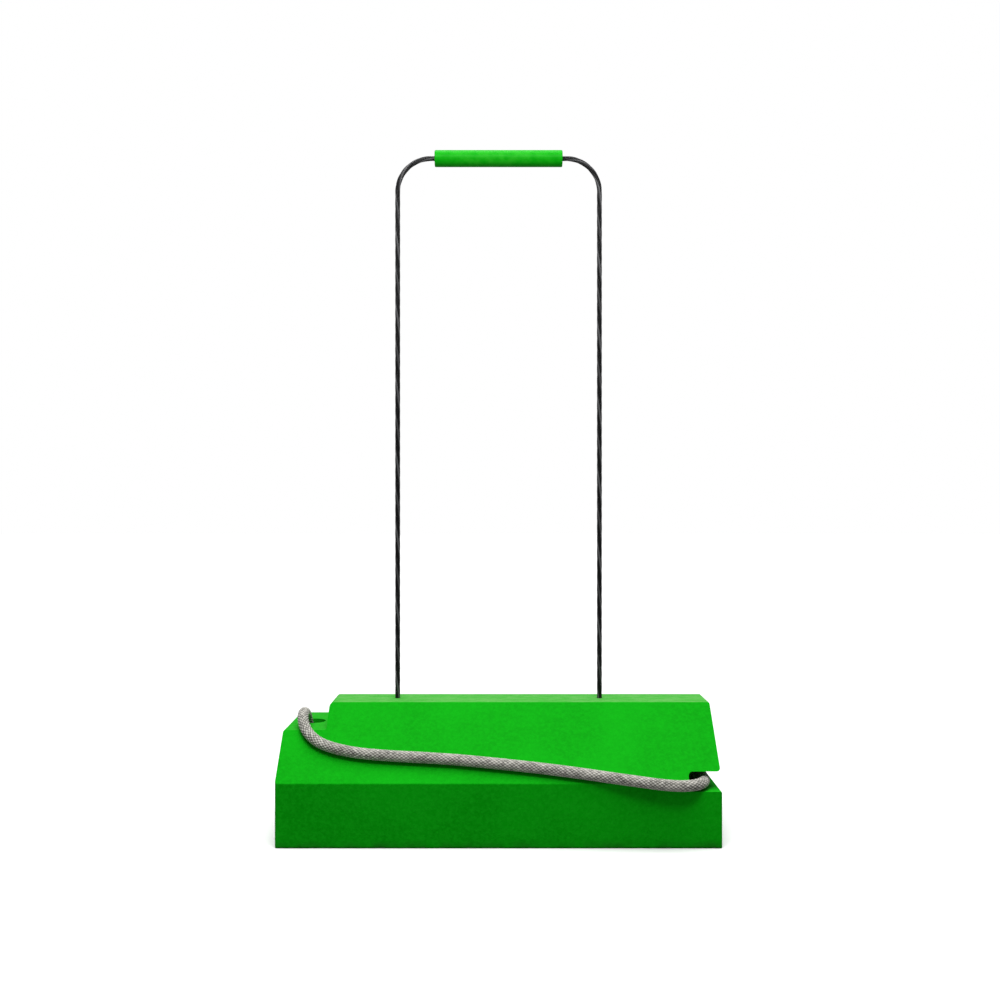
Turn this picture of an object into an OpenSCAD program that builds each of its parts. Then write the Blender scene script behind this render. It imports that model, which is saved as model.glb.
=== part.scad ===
// Moulded wedge block with a tall wire-cable handle and a rope that it holds at both ends.
// Origin: middle of the base, on the ground. +X points to the slot end, +Y to the back, +Z up.

/* [Block] */
// Length of the block, end to end
block_w = 450; // [420:5:560]
// Depth of the block at its base
block_d = 210; // [175:5:260]
// Height of the flat top
block_h = 135; // [112:1:165]
// Height of the upright walls below the slopes
wall_h = 65; // [54:1:72]
// Depth of the flat top
top_d = 56; // [46:1:90]
// Radius of the long moulded edges
edge_r = 2; // [0.5:0.25:3]
// Radius of the four upright corners
corner_r = 2.5; // [0.5:0.25:5]

/* [Rope ear] */
// Length of the lowered ear at the left end
ear_w = 45; // [44:1:70]
// Drop from the flat top to the ear's floor
ear_drop = 25; // [20:1:30]
// Radius where the flat top turns down to the ear
ear_top_r = 4.5; // [1:0.5:8]
// Radius in the corner between the ear's floor and its side wall
ear_floor_r = 2; // [0.5:0.5:6]
// Diameter of the upright rope bore in the ear
rope_bore_d = 28; // [20:0.5:32]

/* [Rope slot] */
// Length of the slot, inwards from the right end
slot_w = 33; // [26:1:45]
// Height of the slot
slot_h = 18; // [15:0.5:22]
// Height of the slot's floor above the ground
slot_z = 57; // [45:1:62]
// Radius at the slot's inner end
slot_r = 4.5; // [1:0.5:7]
// Radius of the lip over the slot's mouth
lip_r = 3.5; // [1:0.5:5]

/* [Rope] */
// Diameter of the rope
rope_d = 11; // [9:0.5:14]
// Width of a stopper knot
knot_d = 36; // [30:0.5:38]
// Length of a stopper knot along the rope
knot_len = 34; // [28:0.5:36]
// Length of the rope's tail behind the slot knot
tail_len = 24; // [14:1:40]
// Gap between a knot and the pocket that it sits in
knot_gap = 3; // [1:0.5:4]
// How far the knot's pocket sits inwards of the rope bore
pocket_shift = 4.5; // [2:0.5:8]

/* [Cable handle] */
// Distance between the two legs, centre to centre
leg_pitch = 220; // [180:5:300]
// Height of the cable's top run above the flat top, to its centre
handle_rise = 588; // [450:5:700]
// Diameter of the twisted cable
cable_d = 5.4; // [4:0.2:8]
// Bend radius of the cable's two shoulders, to its centre
bend_r = 36; // [28:1:60]
// Gap round the cable in its bores through the block
cable_gap = 0.4; // [0.2:0.1:1]

/* [Grip] */
// Length of the grip sleeve
grip_len = 139; // [100:1:139]
// Outer diameter of the grip sleeve
grip_d = 18; // [14:0.5:30]
// Gap round the cable inside the grip sleeve
grip_gap = 0.5; // [0.3:0.1:1.5]

/* [Cable anchors] */
// Outer diameter of the swaged ferrules
ferrule_d = 12; // [10:0.5:16]
// Length of the swaged ferrules
ferrule_len = 16; // [10:1:24]
// Bite of a ferrule into the cable, on the radius
ferrule_bite = 0.05; // [0.02:0.01:0.1]
// Outer diameter of the washers
washer_d = 22; // [18:0.5:30]
// Thickness of the washers
washer_t = 2; // [1:0.5:4]
// Thickness of the base plugs
plug_t = 7.5; // [5:0.5:12]
// How far the base plugs sit up inside the base
plug_recess = 0.5; // [0.5:0.5:2]
// Squeeze of a base plug in its bore, on the radius
plug_bite = 0.05; // [0.02:0.01:0.15]

/* [Hidden] */

$fn = 64;
over = 1;             // how far a cut runs past the face it opens
arc_steps = 6;        // straight pieces in a rounded corner
chamfer = 0.8;        // on turned and moulded ends
rope_sides = 12;

ear_z = block_h - ear_drop;
ear_x = -block_w / 2 + ear_w;
rope_bore_x = -block_w / 2 + ear_w / 2;
slot_x = block_w / 2 - slot_w;

run_z = block_h + handle_rise;
cable_bore_d = cable_d + 2 * cable_gap;
anchor_d = washer_d + 2;
anchor_depth = plug_recess + plug_t + ferrule_len + washer_t;
ferrule_z = plug_recess + plug_t;
washer_z = ferrule_z + ferrule_len;
cable_end_z = ferrule_z + chamfer;
knot_round = knot_d / 2 - rope_d / 2 - 1;

// The rope's centreline, from the knot under the ear to the knot behind the slot.
rope_route = [
    [-200, 0, 38], [-200.5, 0.5, 46], [-203, 1.5, 58], [-205, 2.5, 70], [-206, 3, 82],
    [-206.5, 3, 94], [-207.2, 1, 106], [-207.6, -5, 115.5], [-207.6, -13.5, 121.8],
    [-207.6, -23, 124.8], [-207.6, -33, 125], [-207.2, -43, 123.5], [-205.3, -52.5, 119.5],
    [-202.3, -61, 113.5], [-197.5, -67.5, 107.5], [-190, -72.8, 102.2], [-181, -76.8, 98.6],
    [-165, -81, 94.8], [-142, -84.9, 91.4], [-110, -86.9, 89.4], [-75, -88.4, 87.9],
    [-40, -90.4, 86.1], [0, -93.9, 82.9], [40, -97.7, 79.5], [80, -102.4, 75.4],
    [110, -106.3, 71.8], [140, -110.2, 68.4], [165, -111.5, 65.1], [183, -112.5, 64],
    [194, -111, 64], [202.5, -106, 64.3], [208.8, -97, 64.5], [211, -86, 64.5], [211, -60, 64.5],
    [211, 0, 64.5], [211, 60, 64.5], [211, 98, 64.5], [211, 108, 64.5]
];
rope_last = len(rope_route) - 1;
ear_knot_at = rope_route[0] - [0, 0, knot_len / 2];
slot_knot_at = rope_route[rope_last] + [0, knot_len / 2, 0];
pocket_d = knot_d + 2 * knot_gap;
pocket_x = rope_bore_x + pocket_shift;
pocket_depth = rope_route[0].z + 1;

function unit(v) = v / norm(v);

// The corner [x, y, radius] between the corners before and after it, as the points of its arc.
function corner_arc(before, corner, after) =
    let (
        p = [corner.x, corner.y],
        r = corner.z,
        u = unit([before.x, before.y] - p),
        v = unit([after.x, after.y] - p),
        half = acos(u * v) / 2,
        centre = p + unit(u + v) * r / sin(half),
        from = p + u * r / tan(half) - centre,
        to = p + v * r / tan(half) - centre,
        turn = 180 - 2 * half
    )
    r == 0 ? [p] : [
        for (i = [0:arc_steps])
            centre + (from * sin(turn - turn * i / arc_steps) + to * sin(turn * i / arc_steps)) / sin(turn)
    ];

// An outline whose corners are [x, y, radius].
function rounded(corners) =
    let (n = len(corners))
    [for (i = [0:n - 1]) each corner_arc(corners[(i + n - 1) % n], corners[i], corners[(i + 1) % n])];

function tangent(route, i) = unit(route[min(i + 1, len(route) - 1)] - route[max(i - 1, 0)]);

// A vector square to the tangent t, as near as possible to n.
function squared(n, t) = unit(n - (n * t) * t);

// A round tube along a route, whose rings keep their twist from one to the next.
module tube(route, d, sides) {
    last = len(route) - 1;
    normals = [
        for (i = 0, n = squared([1, 0.1, 0], tangent(route, 0)); i <= last;
             i = i + 1, n = squared(n, tangent(route, min(i, last)))) n
    ];
    points = [
        for (i = [0:last], k = [0:sides - 1])
            route[i] + d / 2 * (cos(360 * k / sides) * normals[i]
                + sin(360 * k / sides) * cross(tangent(route, i), normals[i]))
    ];
    walls = [
        for (i = [0:last - 1], k = [0:sides - 1])
            let (a = i * sides + k, b = i * sides + (k + 1) % sides)
            [a, a + sides, b + sides, b]
    ];
    start_cap = [[for (k = [0:sides - 1]) k]];
    end_cap = [[for (k = [sides - 1:-1:0]) last * sides + k]];
    polyhedron(points, concat(start_cap, walls, end_cap));
}

// A tube or rod standing on z = 0, with both outer ends chamfered.
module turned(d, h, hole_d = 0) {
    rotate_extrude()
        polygon([
            [hole_d / 2, 0], [d / 2 - chamfer, 0], [d / 2, chamfer],
            [d / 2, h - chamfer], [d / 2 - chamfer, h], [hole_d / 2, h]
        ]);
}

// The outside shape of a stopper knot, along z and centred on its middle.
module knot() {
    rotate_extrude()
        polygon(rounded([
            [0, -knot_len / 2, 0], [knot_d / 2, -knot_len / 2, knot_round],
            [knot_d / 2, knot_len / 2, knot_round], [0, knot_len / 2, 0]
        ]));
}

module cross_section() {
    polygon(rounded([
        [-block_d / 2, 0, edge_r], [block_d / 2, 0, edge_r],
        [block_d / 2, wall_h, edge_r], [top_d / 2, block_h, edge_r],
        [-top_d / 2, block_h, edge_r], [-block_d / 2, wall_h, edge_r]
    ]));
}

module front_outline() {
    polygon(rounded([
        [-block_w / 2, 0, edge_r], [block_w / 2, 0, edge_r],
        [block_w / 2, slot_z, edge_r], [slot_x, slot_z, slot_r],
        [slot_x, slot_z + slot_h, slot_r], [block_w / 2, slot_z + slot_h, lip_r],
        [block_w / 2, block_h, edge_r], [ear_x, block_h, ear_top_r],
        [ear_x, ear_z, ear_floor_r], [-block_w / 2, ear_z, edge_r]
    ]));
}

module plan_outline() {
    polygon(rounded([
        for (corner = [[-1, -1], [1, -1], [1, 1], [-1, 1]])
            [corner.x * block_w / 2, corner.y * block_d / 2, corner_r]
    ]));
}

// The hole from the flat top down to the counterbore that holds one cable anchor.
module cable_anchor_cut() {
    translate([0, 0, -over]) cylinder(d = anchor_d, h = anchor_depth + over);
    cylinder(d = cable_bore_d, h = block_h + over);
}

module block_body() {
    color([0.05, 0.66, 0.08]) difference() {
        intersection() {
            rotate([90, 0, 90]) linear_extrude(height = block_w, center = true) cross_section();
            rotate([90, 0, 0]) linear_extrude(height = block_d, center = true) front_outline();
            linear_extrude(height = block_h) plan_outline();
        }
        translate([rope_bore_x, 0, 0]) cylinder(d = rope_bore_d, h = block_h);
        translate([pocket_x, 0, -over]) cylinder(d = pocket_d, h = pocket_depth + over);
        for (side = [-1, 1]) translate([side * leg_pitch / 2, 0, 0]) cable_anchor_cut();
    }
}

module handle_cable() {
    shoulder_x = leg_pitch / 2 - bend_r;
    shoulder_z = run_z - bend_r;
    color([0.09, 0.09, 0.10]) {
        for (side = [0, 1]) mirror([side, 0, 0]) {
            translate([leg_pitch / 2, 0, cable_end_z])
                cylinder(d = cable_d, h = shoulder_z - cable_end_z);
            translate([shoulder_x, 0, shoulder_z]) rotate([90, 0, 0])
                rotate_extrude(angle = 90) translate([bend_r, 0]) circle(d = cable_d);
        }
        translate([-shoulder_x, 0, run_z]) rotate([0, 90, 0]) cylinder(d = cable_d, h = 2 * shoulder_x);
    }
}

module grip_sleeve() {
    color([0.12, 0.78, 0.10])
        translate([-grip_len / 2, 0, run_z]) rotate([0, 90, 0])
            turned(grip_d, grip_len, cable_d + 2 * grip_gap);
}

module ferrule(side) {
    color([0.72, 0.73, 0.75])
        translate([side * leg_pitch / 2, 0, ferrule_z])
            turned(ferrule_d, ferrule_len, cable_d - 2 * ferrule_bite);
}

module anchor_washers() {
    color([0.62, 0.63, 0.65])
        for (side = [-1, 1]) translate([side * leg_pitch / 2, 0, washer_z])
            difference() {
                cylinder(d = washer_d, h = washer_t);
                translate([0, 0, -over]) cylinder(d = cable_bore_d, h = washer_t + 2 * over);
            }
}

module base_plug(side) {
    color([0.10, 0.10, 0.11])
        translate([side * leg_pitch / 2, 0, plug_recess])
            turned(anchor_d + 2 * plug_bite, plug_t);
}

module rope() {
    color([0.66, 0.64, 0.60]) tube(rope_route, rope_d, rope_sides);
}

module ear_knot() {
    color([0.62, 0.60, 0.56]) translate(ear_knot_at) knot();
}

module slot_knot() {
    color([0.62, 0.60, 0.56]) translate(slot_knot_at) rotate([-90, 0, 0]) {
        knot();
        cylinder(d = rope_d, h = knot_len / 2 + tail_len);
    }
}

block_body();
handle_cable();
grip_sleeve();
ferrule(-1);  // left_ferrule
ferrule(1);  // right_ferrule
anchor_washers();
base_plug(-1);  // left_base_plug
base_plug(1);  // right_base_plug
rope();
ear_knot();
slot_knot();
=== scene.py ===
"""Looks of the green chock block with a wire carrying handle and a rope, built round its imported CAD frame."""

import math

import bpy
import numpy as np
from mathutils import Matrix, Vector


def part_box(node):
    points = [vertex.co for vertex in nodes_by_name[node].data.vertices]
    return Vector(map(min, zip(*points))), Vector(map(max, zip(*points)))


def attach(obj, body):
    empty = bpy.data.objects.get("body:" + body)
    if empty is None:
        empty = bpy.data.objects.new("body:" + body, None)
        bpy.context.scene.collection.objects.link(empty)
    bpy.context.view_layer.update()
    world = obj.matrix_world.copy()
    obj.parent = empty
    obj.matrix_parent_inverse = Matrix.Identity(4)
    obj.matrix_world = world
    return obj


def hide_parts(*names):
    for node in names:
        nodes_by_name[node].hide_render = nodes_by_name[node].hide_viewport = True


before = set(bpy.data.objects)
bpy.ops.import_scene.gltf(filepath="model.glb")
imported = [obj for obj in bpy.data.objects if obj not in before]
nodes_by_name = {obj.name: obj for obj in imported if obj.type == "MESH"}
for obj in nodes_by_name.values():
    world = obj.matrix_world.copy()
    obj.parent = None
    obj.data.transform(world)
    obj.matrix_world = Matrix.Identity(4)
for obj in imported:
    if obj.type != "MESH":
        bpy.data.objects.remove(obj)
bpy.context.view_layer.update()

# ---------------------------------------------------------------- camera

CAMERA_DISTANCE = 1.325
CAMERA_HEIGHT = 0.342
CAMERA_LENS = 43.74
CAMERA_SHIFT = (0.00145, 0.008)


def make_camera():
    """A level camera in front of the block, as far off and as high as the photographer's."""
    data = bpy.data.cameras.new("camera")
    data.sensor_width = 36.0
    data.lens = CAMERA_LENS
    data.shift_x, data.shift_y = CAMERA_SHIFT
    camera = bpy.data.objects.new("camera", data)
    camera.location = (0.0, -CAMERA_DISTANCE, CAMERA_HEIGHT)
    camera.rotation_euler = (math.radians(90.0), 0.0, 0.0)
    bpy.context.scene.collection.objects.link(camera)
    bpy.context.scene.camera = camera


make_camera()

# ---------------------------------------------------------------- mesh helpers


def line_length(points):
    """How long a line of points is."""
    return float(np.linalg.norm(np.diff(points, axis=0), axis=1).sum())


def evened(points, count):
    """The same line as this many points, evenly spaced."""
    points = np.asarray(points, float)
    walked = np.concatenate([[0.0], np.cumsum(np.linalg.norm(np.diff(points, axis=0), axis=1))])
    at = np.linspace(0.0, walked[-1], count)
    return np.stack([np.interp(at, walked, points[:, axis]) for axis in range(3)], axis=1)


def resample(points, spacing):
    """The same line with its points at an even spacing, as near to the given one as its length allows."""
    return evened(points, int(round(line_length(points) / spacing)) + 1)


def relaxed(points, passes):
    """The line with its corners eased, its two ends kept."""
    eased = points.copy()
    for _ in range(passes):
        eased[1:-1] = 0.5 * eased[1:-1] + 0.25 * (eased[:-2] + eased[2:])
    return eased


def carried_frames(points):
    """Unit side and up vectors at each point of a line, carried along it without twisting."""
    tangents = np.gradient(points, axis=0)
    tangents /= np.linalg.norm(tangents, axis=1)[:, None]
    side = np.cross(tangents[0], (0.0, 1.0, 0.0) if abs(tangents[0][1]) < 0.9 else (1.0, 0.0, 0.0))
    sides = []
    for tangent in tangents:
        side = side - tangent * (side @ tangent)
        side = side / np.linalg.norm(side)
        sides.append(side)
    sides = np.array(sides)
    return sides, np.cross(tangents, sides)


def tube_faces(rings, sides, first=0):
    """Quads between neighbouring rings, and the two triangle fans that close the ends."""
    ring = np.arange(rings - 1)[:, None] * sides + first
    here = np.arange(sides)[None]
    beside = (np.arange(sides)[None] + 1) % sides
    quads = np.stack([ring + here, ring + beside, ring + sides + beside, ring + sides + here], axis=-1)
    quads = quads.reshape(-1, 4)
    start_hub = first + rings * sides
    last = first + (rings - 1) * sides
    here, beside = here[0], beside[0]
    start = np.stack([first + beside, first + here, np.full(sides, start_hub)], axis=-1)
    end = np.stack([last + here, last + beside, np.full(sides, start_hub + 1)], axis=-1)
    return quads, np.concatenate([start, end])


def mesh_object(name, vertices, quads, triangles, uv=None, values=None):
    """A smooth-shaded object from arrays, with a UV for each corner and named values for each vertex."""
    mesh = bpy.data.meshes.new(name)
    mesh.vertices.add(len(vertices))
    mesh.vertices.foreach_set("co", np.asarray(vertices, np.float32).ravel())
    corners = np.concatenate([quads.ravel(), triangles.ravel()])
    mesh.loops.add(len(corners))
    mesh.loops.foreach_set("vertex_index", corners.astype(np.int32))
    sizes = np.concatenate([np.full(len(quads), 4), np.full(len(triangles), 3)])
    mesh.polygons.add(len(sizes))
    mesh.polygons.foreach_set("loop_start", np.concatenate([[0], np.cumsum(sizes)[:-1]]).astype(np.int32))
    mesh.update(calc_edges=True)
    mesh.validate()
    mesh.shade_smooth()
    if uv is not None:
        layer = mesh.uv_layers.new(name="lay")
        layer.data.foreach_set("uv", np.asarray(uv, np.float32).ravel())
    for key, value in (values or {}).items():
        attribute = mesh.attributes.new(key, "FLOAT", "POINT")
        attribute.data.foreach_set("value", np.asarray(value, np.float32))
    made = bpy.data.objects.new(name, mesh)
    bpy.context.scene.collection.objects.link(made)
    return made


def tube_uv(rings, sides, along):
    """UVs for tube_faces in the same order: once round the tube in U, the distance along it in V."""
    share = np.arange(sides) / sides
    step = 1.0 / sides
    u = np.stack([share, share + step, share + step, share], axis=-1)
    quads = np.zeros((rings - 1, sides, 4, 2))
    quads[..., 0] = u[None]
    quads[..., 0:2, 1] = along[:-1, None, None]
    quads[..., 2:4, 1] = along[1:, None, None]
    fan = np.zeros((2, sides, 3, 2))
    fan[..., 0] = share[None, :, None]
    fan[0, ..., 1] = along[0]
    fan[1, ..., 1] = along[-1]
    return np.concatenate([quads.reshape(-1, 2), fan.reshape(-1, 2)])


# ---------------------------------------------------------------- the rope and its knots

ROPE_D = 0.011
KNOT_ROPE_D = 0.010
BRAID_STEP = 0.00075
BRAID_SIDES = 96
CARRIERS = 22
BRAID_CELL = 0.0045
BRAID_RELIEF = 0.0011
CROWN_MIDDLE = 0.72
CROSSING_KINDS = 61
EASING_PASSES = 400
EAR_KNOT_AT = np.array([-0.198, 0.0, 0.0238])
SLOT_KNOT_AT = np.array([0.211, 0.1215, 0.0645])
# Along a knot's axis from its middle, in rope diameters: its body's half length, where the rope takes
# over from its leg, and the end of its loose leg.
KNOT_BODY = 1.45
KNOT_LEG = 2.2
KNOT_END = 3.1
EAR_TAIL = 1.72
SLOT_TAIL_END = 0.166

# The part's rope route between its two knots: out of the ear's bore, down the front slope, into the slot.
ROPE_ROUTE = [
    (-0.203, 0.0015, 0.058), (-0.205, 0.0025, 0.07), (-0.206, 0.003, 0.082), (-0.2065, 0.003, 0.094),
    (-0.2072, 0.001, 0.106), (-0.2076, -0.005, 0.1155), (-0.2076, -0.0135, 0.1218),
    (-0.2076, -0.023, 0.1248), (-0.2076, -0.033, 0.125), (-0.2072, -0.043, 0.1235),
    (-0.2053, -0.0525, 0.1195), (-0.2023, -0.061, 0.1135), (-0.1975, -0.0675, 0.1075),
    (-0.19, -0.0728, 0.1022), (-0.181, -0.0768, 0.0986), (-0.165, -0.081, 0.0948),
    (-0.142, -0.0849, 0.0914), (-0.11, -0.0869, 0.0894), (-0.075, -0.0884, 0.0879),
    (-0.04, -0.0904, 0.0861), (0.0, -0.0939, 0.0829), (0.04, -0.0977, 0.0795), (0.08, -0.1024, 0.0754),
    (0.11, -0.1063, 0.0718), (0.14, -0.1102, 0.0684), (0.165, -0.1115, 0.0651),
    (0.183, -0.1125, 0.064), (0.194, -0.111, 0.064), (0.2025, -0.106, 0.0643),
    (0.2088, -0.097, 0.0645), (0.211, -0.086, 0.0645), (0.211, -0.06, 0.0645), (0.211, 0.0, 0.0645),
    (0.211, 0.06, 0.0645),
]


def overhand_knot():
    """The centreline of a pulled-tight overhand knot, in rope diameters, its two legs on the Z axis.

    A loose knot is shortened bit by bit, while parts of it that are nearer than a diameter push apart.
    """
    t = np.linspace(-2.13, 2.13, 160)
    loose = 1.3 * np.stack([(t**3 - 3 * t) / 2, (t**4 - 4 * t**2) / 4, (t**5 - 10 * t) / 12], axis=1)
    loose[:, 1] -= loose[:, 1].mean()
    loose = loose[::-1] if loose[0, 2] > loose[-1, 2] else loose
    bottom = np.array([0.0, 0.0, -KNOT_END])
    line = np.vstack([np.linspace(bottom, loose[0], 30)[:-1], loose, np.linspace(loose[-1], -bottom, 30)[1:]])
    count = 90
    line = evened(line, count)
    apart = np.abs(np.subtract.outer(np.arange(count), np.arange(count)))
    for _ in range(700):
        line = relaxed(line, 1)
        spacing = line_length(line) / (count - 1)
        for _ in range(4):
            between = line[:, None] - line[None]
            distance = np.linalg.norm(between, axis=2)
            close = (apart * spacing > 2.4) & (distance < 1.0)
            push = np.where(close, (1.0 - distance) / np.maximum(distance, 1e-6), 0.0)[..., None] * between
            line[1:-1] += 0.5 * (push.sum(1) / np.maximum(close.sum(1), 1)[:, None])[1:-1]
        line = evened(line, count)
    return line


def knot_in_place(knot, centre, axis, low, high):
    """The part of the knot between two heights on its axis, in metres, its middle at centre.

    Its legs stand off the middle, and they stand on the side of -X.
    """
    kept = knot[(knot[:, 2] > low) & (knot[:, 2] < high)]
    tangle = knot[np.hypot(knot[:, 0], knot[:, 1]) > 0.3]
    middle = (tangle.min(0) + tangle.max(0)) / 2
    up = np.asarray(axis, float)
    across = np.array([-1.0, 0.0, 0.0])
    turn = np.stack([np.cross(across, up), across, up], axis=1)
    return centre + (kept - (0.0, middle[1], 0.0)) @ turn.T * KNOT_ROPE_D


def braid(angle, along):
    """The rope's plaited cover at each angle round it and distance along it.

    Half the carriers wind one way and half the other, over and under by turns. It gives the height,
    from 0 in the gaps to 1 on a crown, the two numbers that name the strand on top, and whether
    that strand winds to the right.
    """
    right = CARRIERS / 2 * angle / (2 * np.pi) + along / BRAID_CELL
    left = CARRIERS / 2 * angle / (2 * np.pi) - along / BRAID_CELL
    right_strand, left_strand = np.floor(right), np.floor(left)
    right_on_top = (right_strand + left_strand) % 2 == 0
    right_off = right - right_strand - 0.5
    left_off = left - left_strand - 0.5
    across = np.where(right_on_top, right_off, left_off)
    run = np.where(right_on_top, left_off, right_off)
    height = np.sqrt(1.0 - 0.92 * (2 * across) ** 2) * (0.62 + 0.38 * np.cos(np.pi * run))
    return height, right_strand, left_strand, right_on_top


def strand_tones(right_strand, left_strand, right_on_top):
    """How light the strand on top is: partly by strand, and mostly by crossing."""
    random = np.random.default_rng(11)
    half = CARRIERS // 2
    right_tone, left_tone = random.uniform(0.0, 1.0, (2, half))
    crossing_tone = random.uniform(0.0, 1.0, (CROSSING_KINDS, CROSSING_KINDS))
    right, left = right_strand.astype(int), left_strand.astype(int)
    strand = np.where(right_on_top, right_tone[right % half], left_tone[left % half])
    crossing = crossing_tone[right % CROSSING_KINDS, left % CROSSING_KINDS]
    return 0.3 * strand + 0.7 * crossing


def braided_tube(name, line, radii, walked):
    """A tube of plaited cover along a line, with its radius and the distance along the rope at each point."""
    side, up = carried_frames(line)
    angle = np.arange(BRAID_SIDES) / BRAID_SIDES * 2 * np.pi
    grid_angle, grid_along = np.meshgrid(angle, walked)
    height, right_strand, left_strand, right_on_top = braid(grid_angle, grid_along)
    relief = BRAID_RELIEF * np.minimum(1.0, radii / (ROPE_D / 3))
    reach = radii[:, None] + relief[:, None] * (height - CROWN_MIDDLE)
    outward = side[:, None] * np.cos(angle)[None, :, None] + up[:, None] * np.sin(angle)[None, :, None]
    vertices = (line[:, None] + outward * reach[..., None]).reshape(-1, 3)
    vertices = np.vstack([vertices, line[0], line[-1]])
    tone = strand_tones(right_strand, left_strand, right_on_top)
    quads, triangles = tube_faces(len(line), BRAID_SIDES)
    values = {
        "crown": np.append(height.ravel(), [0.4, 0.4]),
        "tone": np.append(tone.ravel(), [0.4, 0.4]),
        "right": np.append(right_on_top.ravel(), [0.5, 0.5]),
    }
    uv = tube_uv(len(line), BRAID_SIDES, walked / BRAID_CELL)
    return mesh_object(name, vertices, quads, triangles, uv, values)


def rope_radii(line, walked, knot_starts):
    """The rope's radius at each point: pressed thin in the two knots, and rounded off at the cut ends."""
    ear_end, slot_start = knot_starts
    ease = 0.010
    in_ear = 1.0 / (1.0 + np.exp((walked - ear_end) / (ease / 4)))
    in_slot = 1.0 / (1.0 + np.exp((slot_start - walked) / (ease / 4)))
    radii = ROPE_D / 2 - (ROPE_D - KNOT_ROPE_D) / 2 * np.clip(in_ear + in_slot, 0.0, 1.0)
    dome = 0.003
    from_end = np.minimum(walked, walked[-1] - walked)
    return radii * np.sqrt(1.0 - np.clip(1.0 - from_end / dome, 0.0, 0.97) ** 2)


def make_rope():
    """The rope as three pieces of one line: the run, and a stopper knot at each end of it."""
    knot = overhand_knot()
    ear_knot = knot_in_place(knot, EAR_KNOT_AT, (0.0, 0.0, 1.0), -EAR_TAIL, KNOT_LEG)
    slot_tail = (SLOT_TAIL_END - SLOT_KNOT_AT[1]) / KNOT_ROPE_D
    slot_knot = knot_in_place(knot, SLOT_KNOT_AT, (0.0, 1.0, 0.0), -KNOT_LEG, min(slot_tail, KNOT_END))
    slot_end = slot_knot[-1].copy()
    slot_end[1] = SLOT_TAIL_END
    slot_knot = np.vstack([slot_knot, slot_end])
    whole = np.vstack([ear_knot, ROPE_ROUTE, slot_knot])
    line = relaxed(resample(whole, BRAID_STEP), EASING_PASSES)
    line = resample(line, BRAID_STEP)
    walked = np.arange(len(line)) * (line_length(line) / (len(line) - 1))
    ear_end = int(np.argmin(np.linalg.norm(line - ear_knot[-1], axis=1)))
    slot_start = int(np.argmin(np.linalg.norm(line - slot_knot[0], axis=1)))
    body_margin = (KNOT_LEG - KNOT_BODY) * KNOT_ROPE_D
    radii = rope_radii(line, walked, (walked[ear_end] - body_margin, walked[slot_start] + body_margin))
    parts = {
        "ear_stopper_knot": slice(0, ear_end + 1),
        "rope_run": slice(ear_end, slot_start + 1),
        "slot_stopper_knot": slice(slot_start, len(line)),
    }
    made = {name: braided_tube(name, line[part], radii[part], walked[part]) for name, part in parts.items()}
    return made, line[parts["rope_run"]]


rope, rope_line = make_rope()
stand_ins = {"rope_run": "rope", "ear_stopper_knot": "ear_knot", "slot_stopper_knot": "slot_knot"}
for piece_name, node in stand_ins.items():
    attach(rope[piece_name], "block")
    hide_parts(node)

# ---------------------------------------------------------------- the wire handle

CABLE_D = 0.0054
STRAND_D = 0.0022
STRAND_LAY = 0.080
STRAND_STEP = 0.0016
STRAND_SIDES = 14
# How light each strand is: the light ones are painted highlight streaks running along the lay.
STRAND_HIGHLIGHT_TONES = (1.0, 0.0, 0.0, 0.6, 0.0, 0.0)
STRANDS = len(STRAND_HIGHLIGHT_TONES)
BAIL_BEND = 0.036
BAIL_BOTTOM = 0.0088


def bail_line():
    """The handle's centreline: up one leg, round a bend, along the top run, and down the other leg."""
    low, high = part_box("handle_cable")
    half_span = (high.x - low.x - CABLE_D) / 2
    run_height = high.z - CABLE_D / 2
    turn = np.linspace(0.0, np.pi / 2, 40)
    corner_x = half_span - BAIL_BEND
    corner_z = run_height - BAIL_BEND
    left = [(-corner_x - BAIL_BEND * math.cos(a), 0.0, corner_z + BAIL_BEND * math.sin(a)) for a in turn]
    right = [(-x, y, z) for x, y, z in reversed(left)]
    ends = [(-half_span, 0.0, BAIL_BOTTOM)], [(half_span, 0.0, BAIL_BOTTOM)]
    return resample(ends[0] + left + right + ends[1], STRAND_STEP)


def make_cable():
    """The handle as twisted strands, each one a tube that winds round the centreline, most of them dark and a
    few painted light as highlight streaks.
    """
    line = bail_line()
    side, up = carried_frames(line)
    walked = np.arange(len(line)) * (line_length(line) / (len(line) - 1))
    offset = (CABLE_D - STRAND_D) / 2
    round_strand = np.arange(STRAND_SIDES) / STRAND_SIDES * 2 * np.pi
    vertices, quads, triangles, uvs_quads, uvs_triangles, tones = [], [], [], [], [], []
    first = 0
    for strand in range(STRANDS):
        wind = 2 * np.pi * (strand / STRANDS - walked / STRAND_LAY)
        centre = line + offset * (side * np.cos(wind)[:, None] + up * np.sin(wind)[:, None])
        angle = wind[:, None] + round_strand[None]
        ring = side[:, None] * np.cos(angle)[..., None] + up[:, None] * np.sin(angle)[..., None]
        wall = (centre[:, None] + ring * STRAND_D / 2).reshape(-1, 3)
        vertices.append(np.vstack([wall, centre[0], centre[-1]]))
        strand_quads, strand_triangles = tube_faces(len(line), STRAND_SIDES, first)
        quads.append(strand_quads)
        triangles.append(strand_triangles)
        uv = tube_uv(len(line), STRAND_SIDES, walked / STRAND_D)
        uvs_quads.append(uv[: 4 * len(strand_quads)])
        uvs_triangles.append(uv[4 * len(strand_quads):])
        tones.append(np.full(len(vertices[-1]), STRAND_HIGHLIGHT_TONES[strand]))
        first += len(vertices[-1])
    uv = np.concatenate(uvs_quads + uvs_triangles)
    wall, quads, triangles = np.concatenate(vertices), np.concatenate(quads), np.concatenate(triangles)
    return mesh_object("wire_handle", wall, quads, triangles, uv, {"tone": np.concatenate(tones)})


cable = make_cable()
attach(cable, "block")
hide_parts("handle_cable")

# ---------------------------------------------------------------- materials


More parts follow.
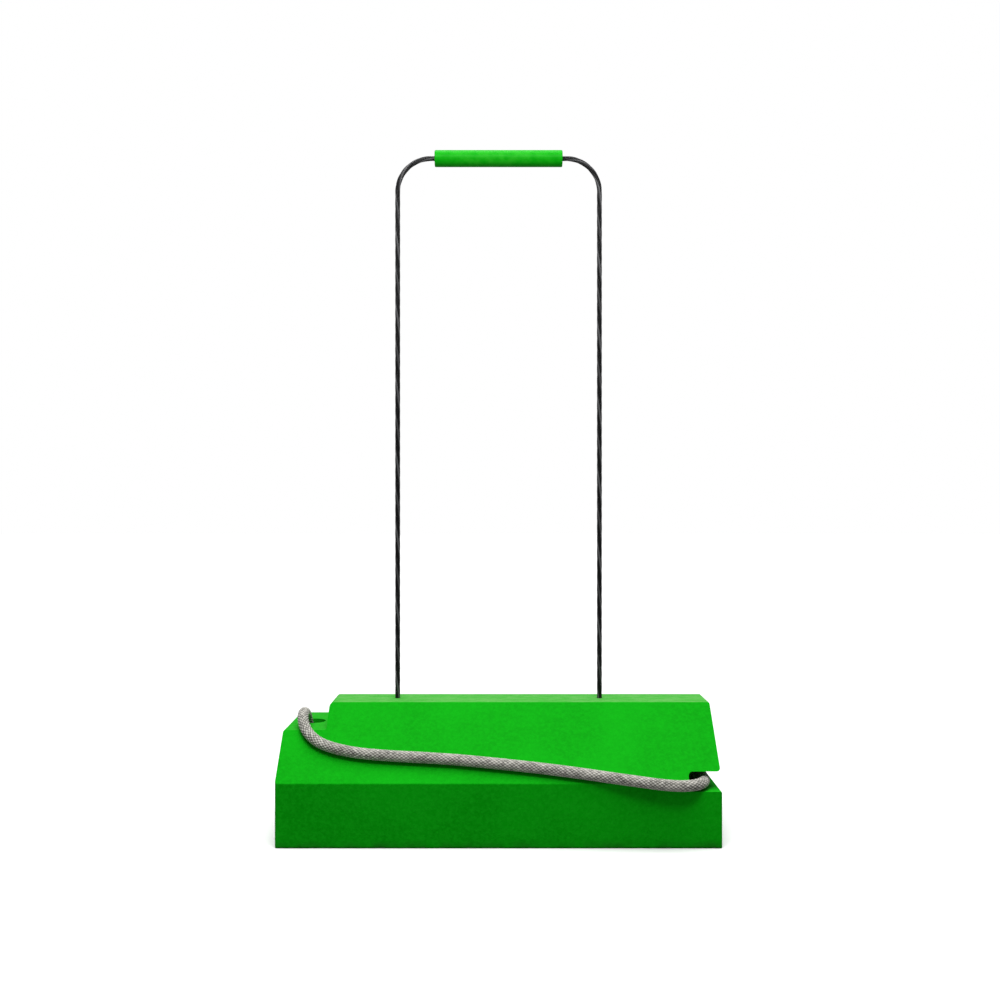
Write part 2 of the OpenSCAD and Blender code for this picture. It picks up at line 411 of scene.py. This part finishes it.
class Nodes:
    """A new material's node tree, with a short way to add each kind of node it uses."""

    def __init__(self, name):
        self.material = bpy.data.materials.new(name)
        self.material.use_nodes = True
        self.tree = self.material.node_tree
        self.shader = self.tree.nodes["Principled BSDF"]

    def link(self, output, socket):
        self.tree.links.new(output, socket)

    def place(self):
        """Where a point is on the object, in metres."""
        return self.tree.nodes.new("ShaderNodeTexCoord").outputs["Object"]

    def normal(self):
        """Which way the surface faces."""
        return self.tree.nodes.new("ShaderNodeNewGeometry").outputs["Normal"]

    def value(self, name):
        """A named value that the mesh holds at each vertex."""
        node = self.tree.nodes.new("ShaderNodeAttribute")
        node.attribute_name = name
        return node.outputs["Fac"]

    def uv(self):
        node = self.tree.nodes.new("ShaderNodeUVMap")
        node.uv_map = "lay"
        return node.outputs["UV"]

    def split(self, vector):
        node = self.tree.nodes.new("ShaderNodeSeparateXYZ")
        self.link(vector, node.inputs[0])
        return node.outputs

    def stretched(self, vector, scale):
        node = self.tree.nodes.new("ShaderNodeMapping")
        self.link(vector, node.inputs["Vector"])
        node.inputs["Scale"].default_value = scale
        return node.outputs["Vector"]

    def noise(self, vector, scale, detail=3.0, roughness=0.55):
        node = self.tree.nodes.new("ShaderNodeTexNoise")
        self.link(vector, node.inputs["Vector"])
        node.inputs["Scale"].default_value = scale
        node.inputs["Detail"].default_value = detail
        node.inputs["Roughness"].default_value = roughness
        return node.outputs["Fac"]

    def grains(self, vector, scale):
        """The distance to the nearest of many scattered points."""
        node = self.tree.nodes.new("ShaderNodeTexVoronoi")
        self.link(vector, node.inputs["Vector"])
        node.inputs["Scale"].default_value = scale
        return node.outputs["Distance"]

    def math(self, operation, *inputs):
        node = self.tree.nodes.new("ShaderNodeMath")
        node.operation = operation
        for socket, given in zip(node.inputs, inputs):
            if isinstance(given, (int, float)):
                socket.default_value = given
            else:
                self.link(given, socket)
        return node.outputs[0]

    def band(self, value, low, high, to_low=0.0, to_high=1.0):
        """value, taken from the range low to high into the range to_low to to_high, smoothly and clamped."""
        node = self.tree.nodes.new("ShaderNodeMapRange")
        node.interpolation_type = "SMOOTHSTEP"
        self.link(value, node.inputs["Value"])
        for key, number in zip(("From Min", "From Max", "To Min", "To Max"), (low, high, to_low, to_high)):
            node.inputs[key].default_value = number
        return node.outputs["Result"]

    def mix(self, share, first, second):
        """A colour between two, each one given as red, green and blue or as a socket."""
        node = self.tree.nodes.new("ShaderNodeMix")
        node.data_type = "RGBA"
        sockets = [node.inputs[0], node.inputs[6], node.inputs[7]]
        for socket, given in zip(sockets, (share, first, second)):
            if isinstance(given, tuple):
                socket.default_value = (*given, 1.0)
            elif isinstance(given, float):
                socket.default_value = given
            else:
                self.link(given, socket)
        return node.outputs[2]

    def bump(self, height, distance, strength=1.0, under=None):
        node = self.tree.nodes.new("ShaderNodeBump")
        node.inputs["Strength"].default_value = strength
        node.inputs["Distance"].default_value = distance
        self.link(height, node.inputs["Height"])
        if under is not None:
            self.link(under, node.inputs["Normal"])
        return node.outputs["Normal"]

    def finish(self, colour, roughness, normal, **constants):
        self.link(colour, self.shader.inputs["Base Color"])
        self.link(roughness, self.shader.inputs["Roughness"])
        self.link(normal, self.shader.inputs["Normal"])
        for key, number in constants.items():
            self.shader.inputs[key.replace("_", " ")].default_value = number
        return self.material


GREEN = (0.0016, 0.318, 0.0036)
GREEN_PALE = (0.006, 0.372, 0.008)
GREEN_DEEP = (0.0008, 0.272, 0.0024)
# The next colour is a painted sheen for upward faces near the top, and the height after it is where that
# painted sheen begins.
GREEN_PAINTED_SHEEN = (0.105, 0.374, 0.078)
PAINTED_SHEEN_FROM = 0.102
BLOCK_TOP = 0.135


def block_material():
    """Coarse moulded plastic, a little cloudy and finely grained, with a painted sheen on its top and darker
    patches at its foot.
    """
    nodes = Nodes("moulded_green")
    place = nodes.place()
    clouds = nodes.band(nodes.noise(place, 14.0, 4.0), 0.35, 0.65)
    mottle = nodes.band(nodes.noise(place, 240.0, 6.0, 0.75), 0.36, 0.64)
    grain = nodes.noise(place, 900.0, 2.0)
    colour = nodes.mix(clouds, GREEN_DEEP, GREEN)
    colour = nodes.mix(nodes.math("MULTIPLY", mottle, 0.6), colour, GREEN_PALE)
    height = nodes.split(place)[2]
    # Painted sheen: a paler, hazier green in streaks on faces that point up, strongest at the top. The worn
    # mask here carries this painted sheen, not wear.
    facing_up = nodes.band(nodes.split(nodes.normal())[2], 0.86, 0.97)
    drawn_out = nodes.noise(nodes.stretched(place, (0.45, 1.0, 1.0)), 130.0, 6.0, 0.74)
    sheen_streaks = nodes.math("MULTIPLY", facing_up, nodes.band(drawn_out, 0.38, 0.66, 0.5, 1.0))
    worn = nodes.math("MULTIPLY", sheen_streaks, nodes.band(height, PAINTED_SHEEN_FROM, BLOCK_TOP, 0.05, 1.0))
    colour = nodes.mix(worn, colour, GREEN_PAINTED_SHEEN)
    # Patches darker towards the foot, over the lowest 10 mm of the block.
    foot = nodes.band(height, 0.001, 0.010, 0.5, 0.0)
    foot_darkening = nodes.math("MULTIPLY", foot, nodes.band(nodes.noise(place, 45.0, 5.0), 0.3, 0.7))
    colour = nodes.mix(foot_darkening, colour, (0.012, 0.05, 0.010))
    roughness = nodes.band(mottle, 0.0, 1.0, 0.5, 0.68)
    normal = nodes.bump(nodes.noise(place, 38.0, 3.0), 0.0012, 0.5)
    normal = nodes.bump(nodes.math("ADD", grain, nodes.math("MULTIPLY", mottle, 0.5)), 0.00022, 0.6, normal)
    return nodes.finish(colour, roughness, normal, Specular_IOR_Level=0.015)


def grip_material():
    """Smoother extruded plastic, drawn along its length, rubbed paler where a hand holds it."""
    nodes = Nodes("extruded_green")
    place = nodes.place()
    drawn = nodes.noise(nodes.stretched(place, (0.06, 1.0, 1.0)), 900.0, 3.0)
    mottle = nodes.band(nodes.noise(place, 140.0, 4.0), 0.3, 0.7)
    rubbed = nodes.band(nodes.math("ABSOLUTE", nodes.split(place)[0]), 0.02, 0.062, 0.35, 0.05)
    colour = nodes.mix(mottle, (0.0015, 0.305, 0.0025), (0.004, 0.35, 0.004))
    colour = nodes.mix(nodes.math("MULTIPLY", rubbed, mottle), colour, (0.03, 0.37, 0.018))
    roughness = nodes.band(drawn, 0.3, 0.7, 0.34, 0.48)
    normal = nodes.bump(drawn, 0.00008, 0.5)
    normal = nodes.bump(nodes.noise(place, 300.0, 2.0), 0.0001, 0.4, normal)
    return nodes.finish(colour, roughness, normal, Specular_IOR_Level=0.05)


def rope_material():
    """Plaited polyester: grey strands of a few yarns each, with painted shade in the gaps between strands and
    yarns, a painted highlight on each strand's crown, and loose fibres.
    """
    nodes = Nodes("plaited_grey")
    place = nodes.place()
    crown, tone, right = nodes.value("crown"), nodes.value("tone"), nodes.value("right")
    u, v, _ = nodes.split(nodes.uv())
    turns = nodes.math("MULTIPLY", u, CARRIERS / 2)
    yarns_in_strand = 3 * 2 * math.pi
    right_yarns = nodes.math("SINE", nodes.math("MULTIPLY", nodes.math("ADD", turns, v), yarns_in_strand))
    left_yarns = nodes.math("SINE", nodes.math("MULTIPLY", nodes.math("SUBTRACT", turns, v), yarns_in_strand))
    winds_right = nodes.math("MULTIPLY", right_yarns, right)
    winds_left = nodes.math("MULTIPLY", left_yarns, nodes.math("SUBTRACT", 1.0, right))
    yarns = nodes.math("ADD", winds_right, winds_left)
    fibres = nodes.noise(place, 1800.0, 4.0, 0.7)
    colour = nodes.mix(tone, (0.12, 0.116, 0.10), (0.74, 0.72, 0.65))
    # Painted shade in the gaps between strands, where the crown value is low.
    colour = nodes.mix(nodes.band(crown, 0.25, 0.9, 0.97, 0.0), colour, (0.018, 0.020, 0.015))
    # Painted highlight on the crown of each strand.
    colour = nodes.mix(nodes.band(crown, 0.78, 1.0, 0.0, 0.7), colour, (0.80, 0.78, 0.72))
    # Painted shade in the grooves between yarns.
    colour = nodes.mix(nodes.band(yarns, -1.0, 0.0, 0.3, 0.0), colour, (0.09, 0.088, 0.076))
    colour = nodes.mix(nodes.band(fibres, 0.5, 0.72, 0.0, 0.3), colour, (0.46, 0.45, 0.41))
    soil = nodes.band(nodes.noise(place, 26.0, 4.0), 0.5, 0.72, 0.0, 0.25)
    colour = nodes.mix(soil, colour, (0.11, 0.10, 0.078))
    roughness = nodes.band(fibres, 0.3, 0.7, 0.7, 0.9)
    normal = nodes.bump(yarns, 0.00018, 0.7)
    normal = nodes.bump(fibres, 0.00012, 0.6, normal)
    return nodes.finish(colour, roughness, normal, Specular_IOR_Level=0.25, Sheen_Weight=0.15)


def cable_material():
    """Blackened steel strands, each with its fine wires laid the other way, a few strands painted light as
    highlight streaks, and painted shade between the wires.
    """
    nodes = Nodes("black_wire")
    place = nodes.place()
    u, v, _ = nodes.split(nodes.uv())
    wires = nodes.math("MULTIPLY", nodes.math("SUBTRACT", nodes.math("MULTIPLY", u, 9.0), v), 2 * math.pi)
    wires = nodes.math("SINE", wires)
    rub = nodes.band(nodes.noise(place, 220.0, 5.0, 0.7), 0.5, 0.7)
    grease = nodes.noise(place, 60.0, 4.0)
    # The light strands are painted highlight streaks.
    colour = nodes.mix(nodes.value("tone"), (0.003, 0.003, 0.0035), (0.13, 0.13, 0.135))
    worn = nodes.math("MULTIPLY", rub, nodes.band(wires, 0.0, 1.0, 0.0, 0.6))
    colour = nodes.mix(worn, colour, (0.10, 0.10, 0.105))
    # Painted shade in the grooves between wires.
    colour = nodes.mix(nodes.band(wires, -1.0, -0.3, 0.8, 0.0), colour, (0.003, 0.003, 0.003))
    roughness = nodes.band(grease, 0.3, 0.7, 0.28, 0.5)
    normal = nodes.bump(wires, 0.00012, 0.8)
    return nodes.finish(colour, roughness, normal, Metallic=0.2, Specular_IOR_Level=0.3)


def turned_metal(name, base, worn, lines):
    """Plain metal with fine turning lines and stains."""
    nodes = Nodes(name)
    place = nodes.place()
    turned = nodes.noise(nodes.stretched(place, (1.0, 1.0, 12.0)), lines, 2.0)
    stains = nodes.band(nodes.noise(place, 180.0, 5.0, 0.65), 0.4, 0.7)
    colour = nodes.mix(stains, base, worn)
    roughness = nodes.band(stains, 0.0, 1.0, 0.3, 0.62)
    normal = nodes.bump(turned, 0.00006, 0.6)
    return nodes.finish(colour, roughness, normal, Metallic=1.0)


def rubber_material():
    """Black rubber with a dusty face."""
    nodes = Nodes("dusty_rubber")
    place = nodes.place()
    dust = nodes.band(nodes.noise(place, 240.0, 5.0, 0.65), 0.35, 0.75, 0.0, 0.6)
    colour = nodes.mix(dust, (0.012, 0.012, 0.012), (0.06, 0.058, 0.052))
    roughness = nodes.band(dust, 0.0, 0.6, 0.6, 0.85)
    normal = nodes.bump(nodes.grains(place, 1500.0), 0.00008, 0.5)
    return nodes.finish(colour, roughness, normal, Specular_IOR_Level=0.3)


def dress(objects, material):
    """Gives the material to every slot of each object."""
    for thing in objects:
        thing.data.materials.clear()
        thing.data.materials.append(material)


dress([nodes_by_name["block_body"]], block_material())
dress([nodes_by_name["grip_sleeve"]], grip_material())
dress(rope.values(), rope_material())
dress([cable], cable_material())
dress(
    [nodes_by_name["left_ferrule"], nodes_by_name["right_ferrule"]],
    turned_metal("dull_aluminium", (0.46, 0.46, 0.47), (0.24, 0.24, 0.25), 900.0),
)
dress(
    [nodes_by_name["anchor_washers"]],
    turned_metal("zinc_steel", (0.52, 0.51, 0.48), (0.30, 0.27, 0.22), 700.0),
)
dress([nodes_by_name["left_base_plug"], nodes_by_name["right_base_plug"]], rubber_material())

# ---------------------------------------------------------------- floor and light

FLOOR_HALF = 14.0
FLOOR_SEEN = 0.86
FLOOR_BOUNCE = 0.25
SUN_STRENGTH = 3.5
SUN_SPREAD = 52.0
ROOM_GLOW = 0.22
FRONT_LAMP = 6.6


def make_floor():
    """A wide plain pale floor."""
    corners = [(-1, -1), (1, -1), (1, 1), (-1, 1)]
    mesh = bpy.data.meshes.new("floor")
    mesh.from_pydata([(x * FLOOR_HALF, y * FLOOR_HALF, 0.0) for x, y in corners], [], [(0, 1, 2, 3)])
    floor = bpy.data.objects.new("floor", mesh)
    bpy.context.scene.collection.objects.link(floor)
    nodes = Nodes("pale_floor")
    seen = nodes.tree.nodes.new("ShaderNodeLightPath").outputs["Is Camera Ray"]
    nodes.link(nodes.mix(seen, (FLOOR_BOUNCE,) * 3, (FLOOR_SEEN,) * 3), nodes.shader.inputs["Base Color"])
    nodes.shader.inputs["Roughness"].default_value = 0.9
    nodes.shader.inputs["Specular IOR Level"].default_value = 0.0
    mesh.materials.append(nodes.material)


def make_lamp(name, kind, energy, place):
    """A lamp over the object, pointing straight down until it is turned."""
    data = bpy.data.lights.new(name, kind)
    data.energy = energy
    lamp = bpy.data.objects.new(name, data)
    lamp.location = place
    bpy.context.scene.collection.objects.link(lamp)
    return lamp


def make_light():
    """A broad soft light overhead, a small one in front of the handle, and a pale room."""
    make_lamp("overhead", "SUN", SUN_STRENGTH, (0.0, 0.0, 3.0)).data.angle = math.radians(SUN_SPREAD)
    front = make_lamp("front", "AREA", FRONT_LAMP, (0.0, -0.62, 1.02))
    front.data.shape = "RECTANGLE"
    front.data.size, front.data.size_y = 0.6, 0.25
    front.rotation_euler = (math.radians(64.0), 0.0, 0.0)
    world = bpy.data.worlds.new("room")
    bpy.context.scene.world = world
    world.use_nodes = True
    tree = world.node_tree
    seen = tree.nodes.new("ShaderNodeLightPath")
    brightness = tree.nodes.new("ShaderNodeMath")
    brightness.operation = "MAXIMUM"
    brightness.inputs[1].default_value = ROOM_GLOW
    tree.links.new(seen.outputs["Is Camera Ray"], brightness.inputs[0])
    tree.nodes["Background"].inputs["Color"].default_value = (1.0, 1.0, 1.0, 1.0)
    tree.links.new(brightness.outputs[0], tree.nodes["Background"].inputs["Strength"])


make_floor()
make_light()
bpy.context.scene.view_settings.view_transform = "Standard"
